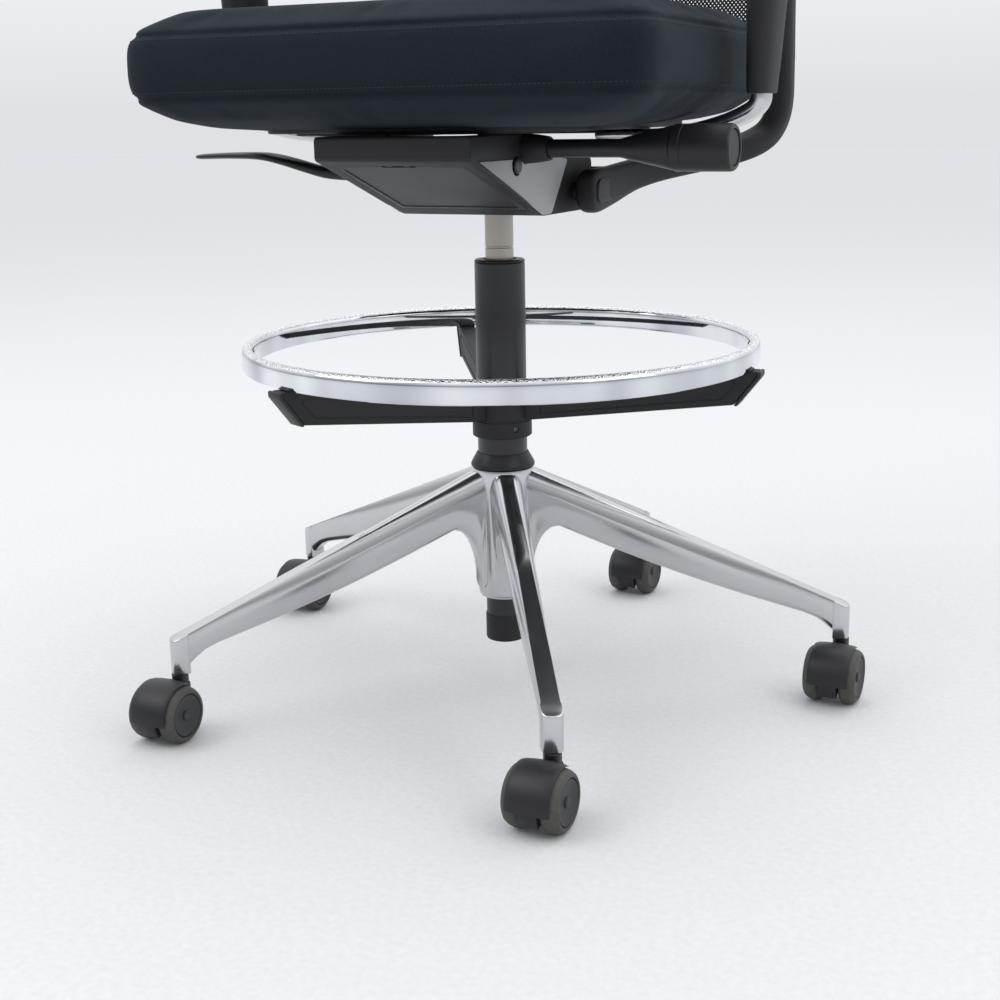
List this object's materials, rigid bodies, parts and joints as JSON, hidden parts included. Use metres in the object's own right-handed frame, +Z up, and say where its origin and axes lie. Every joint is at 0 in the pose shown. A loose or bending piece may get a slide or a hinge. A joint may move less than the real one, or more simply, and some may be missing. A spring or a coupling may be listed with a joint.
{
  "type": "drafting chair",
  "caption": "Tall swivel drafting chair with a star base on casters, gas lift, clamped foot ring, padded seat, armrests and a reclining mesh back.",
  "frame": {"origin": "on the floor under the column's axis, within 8 mm of the middle of the box round the chair", "axes": "+Z up along the column; -Y is where the sitter faces; +X is the sitter's left, the side of the tension knob"},
  "size_m": [0.7034, 0.6975, 1.1618],
  "materials": {
    "polished_aluminium": "die-cast aluminium, polished, soft directional reflections",
    "chrome": "bright chrome with a band of fine anti-slip sparkle on top",
    "black_steel": "satin black powder-coated steel",
    "black_plastic": "fine-textured black moulded plastic",
    "knob_plastic": "smooth satin black moulded plastic",
    "side_plate": "satin dark grey moulded plate",
    "cylinder_steel": "ground steel with a light warm tint",
    "zinc_steel": "zinc-plated steel",
    "wheel": "soft grey polyurethane tread on a dark grey disc",
    "seat_fabric": "dark navy woven upholstery fabric",
    "back_mesh": "open knitted black mesh",
    "pad": "soft black moulded foam pad"
  },
  "bodies": {
    "base": {"base_star": "polished_aluminium", "column_tube": "black_steel", "column_seal_ring": "black_plastic", "column_bush": "black_plastic", "column_end_cap": "black_plastic", "thrust_bearing": "zinc_steel", "retaining_clip": "zinc_steel", "caster_1_stem": "black_steel", "caster_2_stem": "black_steel", "caster_3_stem": "black_steel", "caster_4_stem": "black_steel", "caster_5_stem": "black_steel"},
    "foot_ring": {"foot_ring": "chrome", "ring_carrier": "black_plastic", "clamp_screw": "zinc_steel"},
    "spindle": {"piston_rod": "cylinder_steel"},
    "control": {"pressure_tube": "cylinder_steel", "mechanism_housing": "black_plastic", "mechanism_cover": "black_plastic", "side_plate_left": "side_plate", "side_plate_right": "side_plate", "pivot_pin": "black_steel", "tilt_spring": "zinc_steel"},
    "valve": {"valve_button": "knob_plastic"},
    "lever": {"height_lever": "knob_plastic"},
    "tension": {"tension_shaft": "knob_plastic", "tension_knob": "knob_plastic"},
    "seat": {"seat_pan": "black_plastic", "seat_cushion": "seat_fabric", "arm_bracket_left": "polished_aluminium", "arm_bracket_right": "polished_aluminium", "arm_post_left": "black_plastic", "arm_post_right": "black_plastic"},
    "arm_left": {"arm_slide_left": "black_steel", "arm_pad_left": "pad"},
    "arm_right": {"arm_slide_right": "black_steel", "arm_pad_right": "pad"},
    "back": {"back_yoke": "black_plastic", "back_frame": "black_plastic", "back_mesh": "back_mesh"},
    "caster_1": {"caster_1_hood": "black_plastic", "caster_1_axle": "zinc_steel"},
    "caster_1_left": {"caster_1_wheel_left": "wheel"},
    "caster_1_right": {"caster_1_wheel_right": "wheel"},
    "caster_2": {"caster_2_hood": "black_plastic", "caster_2_axle": "zinc_steel"},
    "caster_2_left": {"caster_2_wheel_left": "wheel"},
    "caster_2_right": {"caster_2_wheel_right": "wheel"},
    "caster_3": {"caster_3_hood": "black_plastic", "caster_3_axle": "zinc_steel"},
    "caster_3_left": {"caster_3_wheel_left": "wheel"},
    "caster_3_right": {"caster_3_wheel_right": "wheel"},
    "caster_4": {"caster_4_hood": "black_plastic", "caster_4_axle": "zinc_steel"},
    "caster_4_left": {"caster_4_wheel_left": "wheel"},
    "caster_4_right": {"caster_4_wheel_right": "wheel"},
    "caster_5": {"caster_5_hood": "black_plastic", "caster_5_axle": "zinc_steel"},
    "caster_5_left": {"caster_5_wheel_left": "wheel"},
    "caster_5_right": {"caster_5_wheel_right": "wheel"}
  },
  "joints": [
    {"name": "ring_height", "type": "slide", "parent": "base", "child": "foot_ring", "axis": [0, 0, 1], "range_m": [-0.012, 0.07]},
    {"name": "swivel", "type": "hinge", "parent": "base", "child": "spindle", "pos_m": [0, 0, 0.06], "axis": [0, 0, 1], "continuous": true},
    {"name": "lift", "type": "slide", "parent": "spindle", "child": "control", "axis": [0, 0, 1], "range_m": [-0.02, 0.17]},
    {"name": "lever_lift", "type": "hinge", "parent": "control", "child": "lever", "pos_m": [-0.075, -0.092, 0.519], "axis": [0, 1, 0], "range_deg": [0, 4.5], "stiffness_Nm_per_rad": 4, "springref_deg": -5.73},
    {"name": "valve_press", "type": "slide", "parent": "control", "child": "valve", "axis": [0, 0, -1], "range_m": [0, 0.0065]},
    {"name": "tension_turn", "type": "hinge", "parent": "control", "child": "tension", "pos_m": [0.1, -0.1, 0.542], "axis": [1, 0, 0], "range_deg": [-720, 720]},
    {"name": "recline", "type": "hinge", "parent": "control", "child": "back", "pos_m": [0, 0.021, 0.499], "axis": [-1, 0, 0], "range_deg": [0, 18], "stiffness_Nm_per_rad": 90, "springref_deg": -20.05},
    {"name": "seat_tilt", "type": "hinge", "parent": "control", "child": "seat", "pos_m": [0, -0.119, 0.528], "axis": [-1, 0, 0], "range_deg": [0, 6.5]},
    {"name": "arm_height_left", "type": "slide", "parent": "seat", "child": "arm_left", "axis": [0, 0, 1], "range_m": [-0.035, 0.06]},
    {"name": "arm_height_right", "type": "slide", "parent": "seat", "child": "arm_right", "axis": [0, 0, 1], "range_m": [-0.035, 0.06]},
    {"name": "caster_1_swivel", "type": "hinge", "parent": "base", "child": "caster_1", "pos_m": [-0.21969, -0.26367, 0.05], "axis": [0, 0, 1], "continuous": true},
    {"name": "caster_1_roll_left", "type": "hinge", "parent": "caster_1", "child": "caster_1_left", "pos_m": [-0.20169, -0.28817, 0.0275], "axis": [1, 0, 0], "continuous": true},
    {"name": "caster_1_roll_right", "type": "hinge", "parent": "caster_1", "child": "caster_1_right", "pos_m": [-0.23769, -0.28817, 0.0275], "axis": [1, 0, 0], "continuous": true},
    {"name": "caster_2_swivel", "type": "hinge", "parent": "base", "child": "caster_2", "pos_m": [0.18288, -0.29041, 0.05], "axis": [0, 0, 1], "continuous": true},
    {"name": "caster_2_roll_left", "type": "hinge", "parent": "caster_2", "child": "caster_2_left", "pos_m": [0.20088, -0.31491, 0.0275], "axis": [1, 0, 0], "continuous": true},
    {"name": "caster_2_roll_right", "type": "hinge", "parent": "caster_2", "child": "caster_2_right", "pos_m": [0.16488, -0.31491, 0.0275], "axis": [1, 0, 0], "continuous": true},
    {"name": "caster_3_swivel", "type": "hinge", "parent": "base", "child": "caster_3", "pos_m": [0.33271, 0.08419, 0.05], "axis": [0, 0, 1], "continuous": true},
    {"name": "caster_3_roll_left", "type": "hinge", "parent": "caster_3", "child": "caster_3_left", "pos_m": [0.35071, 0.05969, 0.0275], "axis": [1, 0, 0], "continuous": true},
    {"name": "caster_3_roll_right", "type": "hinge", "parent": "caster_3", "child": "caster_3_right", "pos_m": [0.31471, 0.05969, 0.0275], "axis": [1, 0, 0], "continuous": true},
    {"name": "caster_4_swivel", "type": "hinge", "parent": "base", "child": "caster_4", "pos_m": [0.02275, 0.34245, 0.05], "axis": [0, 0, 1], "continuous": true},
    {"name": "caster_4_roll_left", "type": "hinge", "parent": "caster_4", "child": "caster_4_left", "pos_m": [0.04075, 0.31795, 0.0275], "axis": [1, 0, 0], "continuous": true},
    {"name": "caster_4_roll_right", "type": "hinge", "parent": "caster_4", "child": "caster_4_right", "pos_m": [0.00475, 0.31795, 0.0275], "axis": [1, 0, 0], "continuous": true},
    {"name": "caster_5_swivel", "type": "hinge", "parent": "base", "child": "caster_5", "pos_m": [-0.31866, 0.12745, 0.05], "axis": [0, 0, 1], "continuous": true},
    {"name": "caster_5_roll_left", "type": "hinge", "parent": "caster_5", "child": "caster_5_left", "pos_m": [-0.30066, 0.10295, 0.0275], "axis": [1, 0, 0], "continuous": true},
    {"name": "caster_5_roll_right", "type": "hinge", "parent": "caster_5", "child": "caster_5_right", "pos_m": [-0.33666, 0.10295, 0.0275], "axis": [1, 0, 0], "continuous": true}
  ],
  "couplings": [
    {"joint": "valve_press", "follows": "lever_lift", "m_per_rad": 0.078},
    {"joint": "seat_tilt", "follows": "recline", "ratio": 0.35}
  ]
}
